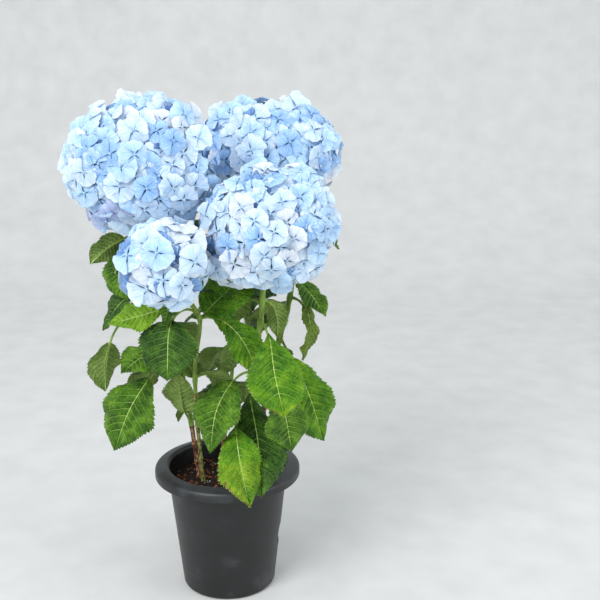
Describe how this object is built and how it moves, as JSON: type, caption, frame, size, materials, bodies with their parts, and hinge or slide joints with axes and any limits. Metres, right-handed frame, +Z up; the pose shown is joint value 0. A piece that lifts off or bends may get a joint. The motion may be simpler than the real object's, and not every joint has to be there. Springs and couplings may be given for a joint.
{
  "type": "potted hydrangea",
  "caption": "Mophead hydrangea in a round plastic nursery pot: arching canes, ovate toothed leaves on long stalks and full rounded flower heads.",
  "frame": {"origin": "middle of the pot's flat underside", "axes": "+Z up along the height of the plant, -Y the plant's front, +X to the right seen from the front"},
  "size_m": [0.3308, 0.3364, 0.6133],
  "materials": {
    "pot_plastic": "satin",
    "potting_soil": "matte",
    "cane_bark": "matte",
    "foliage": "satin",
    "blossom": "matte"
  },
  "bodies": {
    "root": {"pot": "pot_plastic", "soil": "potting_soil", "cane_left": "cane_bark", "cane_front": "cane_bark", "cane_right": "cane_bark", "cane_rear": "cane_bark", "cane_low": "cane_bark", "shoot_left": "foliage", "shoot_front": "foliage", "shoot_right": "foliage", "shoot_rear": "foliage", "shoot_low": "foliage", "bloom_left": "blossom", "bloom_front": "blossom", "bloom_right": "blossom", "bloom_rear": "blossom"}
  },
  "joints": []
}
